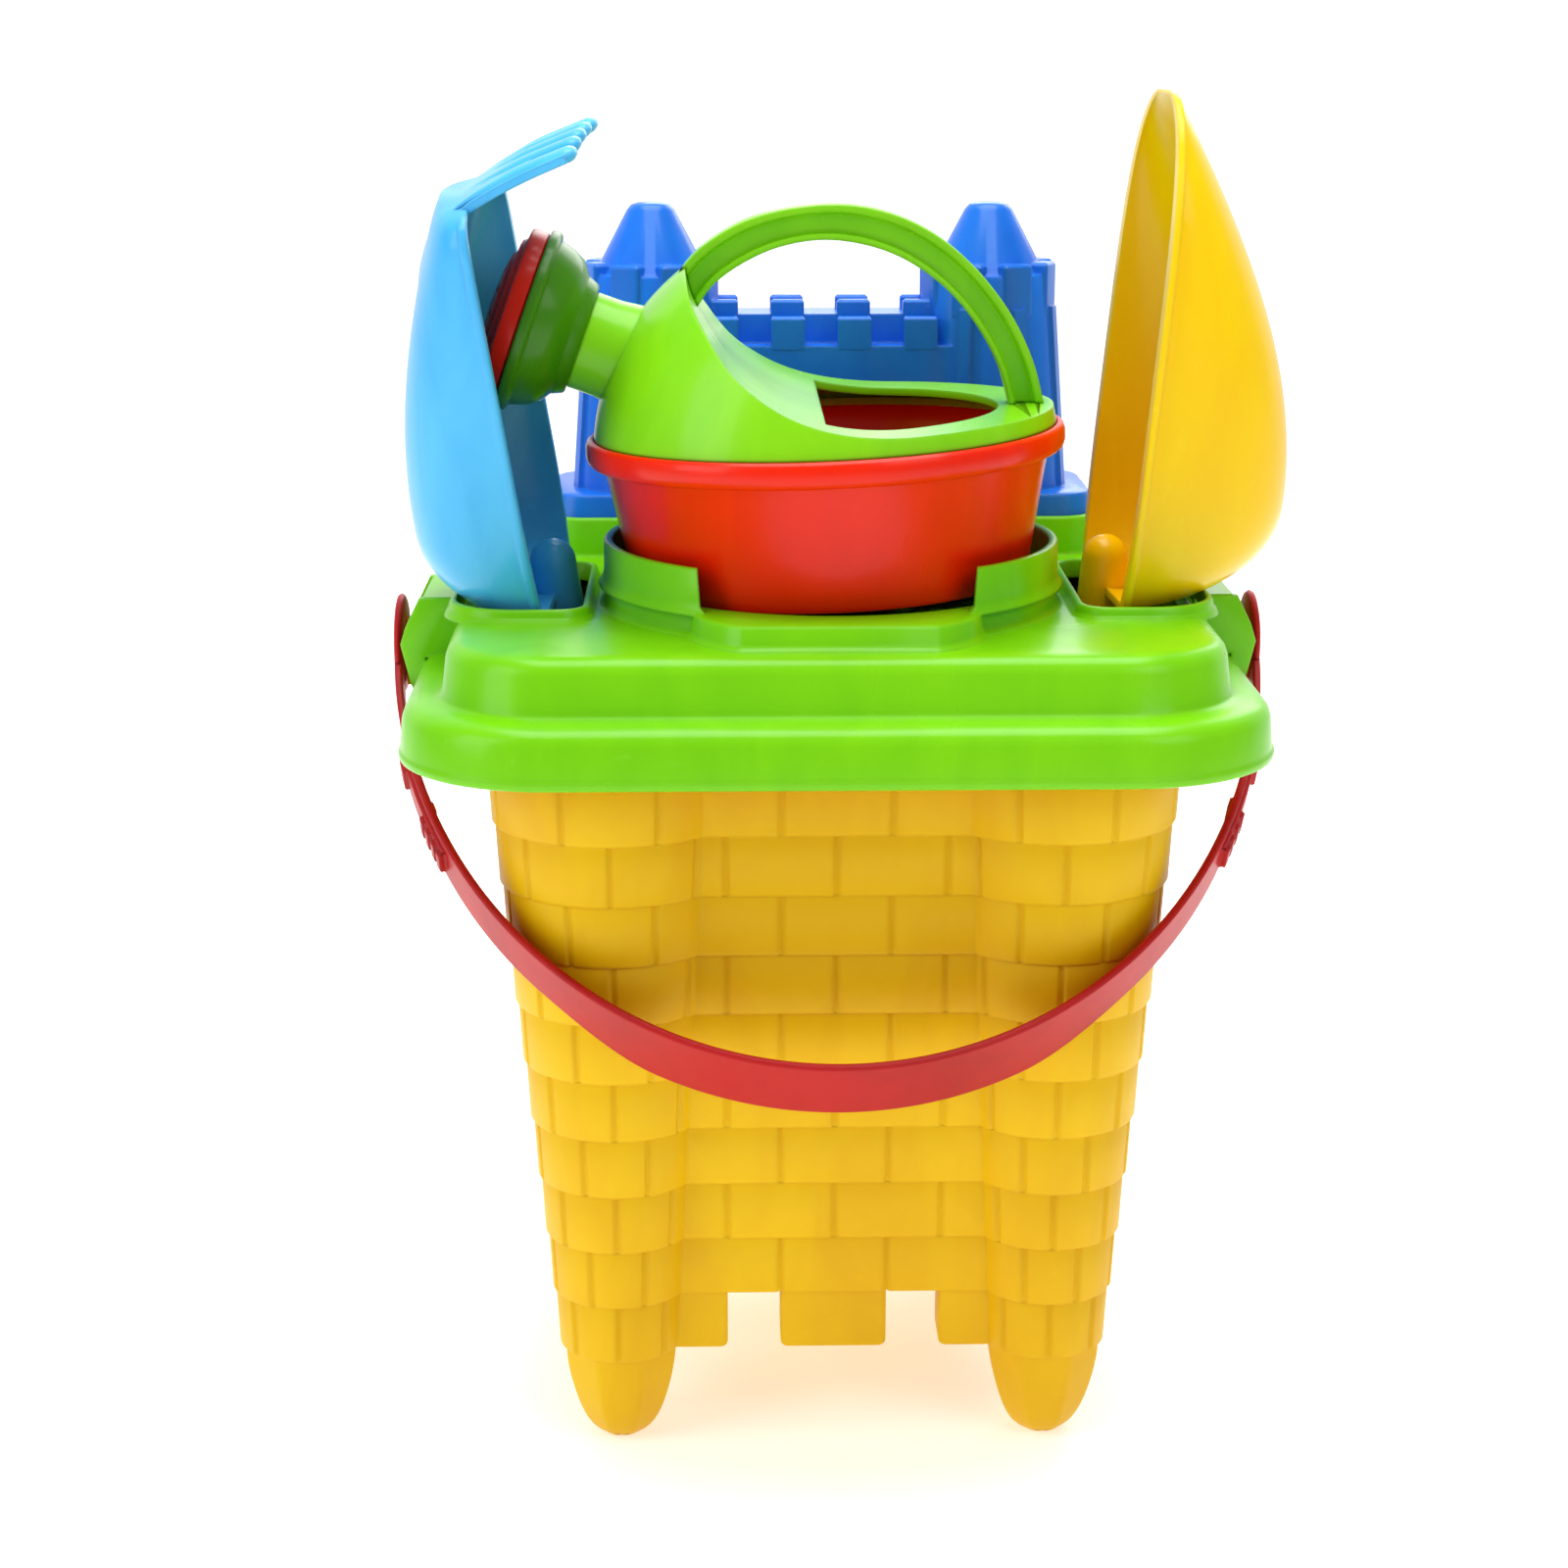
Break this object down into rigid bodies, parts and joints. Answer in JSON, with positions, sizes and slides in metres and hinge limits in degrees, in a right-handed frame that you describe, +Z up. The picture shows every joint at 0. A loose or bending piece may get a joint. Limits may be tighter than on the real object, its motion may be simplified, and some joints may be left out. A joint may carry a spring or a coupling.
{
  "type": "sand bucket set",
  "caption": "Square castle-tower beach bucket with a strap handle and a lid that carries a small watering can, a rake, a shovel and a castle sand mould.",
  "frame": {"origin": "on the ground, under the middle of the set", "axes": "+Z up, +X to the right seen from the front, +Y to the back; the strap hangs in front, the spout points to -X"},
  "size_m": [0.2301, 0.2172, 0.3426],
  "materials": {
    "bucket_yellow": "satin moulded polypropylene",
    "strap_red": "satin moulded polyethylene",
    "lid_green": "gloss moulded polypropylene",
    "bowl_orange": "gloss moulded polypropylene",
    "cover_green": "gloss moulded polypropylene",
    "bell_green": "gloss moulded polypropylene",
    "cap_red": "gloss moulded polypropylene",
    "rake_blue": "gloss moulded polypropylene",
    "shovel_yellow": "gloss moulded polypropylene",
    "mould_blue": "satin moulded polypropylene"
  },
  "bodies": {
    "bucket": {"bucket": "bucket_yellow"},
    "handle": {"handle": "strap_red"},
    "lid": {"lid": "lid_green"},
    "can": {"can_bowl": "bowl_orange", "can_cover": "cover_green"},
    "rose": {"rose_bell": "bell_green", "rose_cap": "cap_red"},
    "rake": {"rake": "rake_blue"},
    "shovel": {"shovel": "shovel_yellow"},
    "mould": {"castle_mould": "mould_blue"}
  },
  "joints": [
    {"name": "handle_swing", "type": "hinge", "parent": "bucket", "child": "handle", "pos_m": [0, 0, 0.2], "axis": [-1, 0, 0], "range_deg": [0, 8]},
    {"name": "lid_lift", "type": "slide", "parent": "bucket", "child": "lid", "axis": [0, 0, 1], "range_m": [0, 0.12]},
    {"name": "can_lift", "type": "slide", "parent": "lid", "child": "can", "axis": [-0.1543, -0.1076, 0.9822], "range_m": [0, 0.12]},
    {"name": "rose_pull", "type": "slide", "parent": "can", "child": "rose", "axis": [-0.9415, 0, 0.3371], "range_m": [0, 0.008]},
    {"name": "rake_lift", "type": "slide", "parent": "can", "child": "rake", "axis": [-0.1543, -0.1076, 0.9822], "range_m": [0, 0.03]},
    {"name": "shovel_lift", "type": "slide", "parent": "lid", "child": "shovel", "axis": [0.0974, 0.006, 0.9952], "range_m": [0, 0.12]},
    {"name": "mould_lift", "type": "slide", "parent": "lid", "child": "mould", "axis": [0, 0, 1], "range_m": [0, 0.09]}
  ]
}
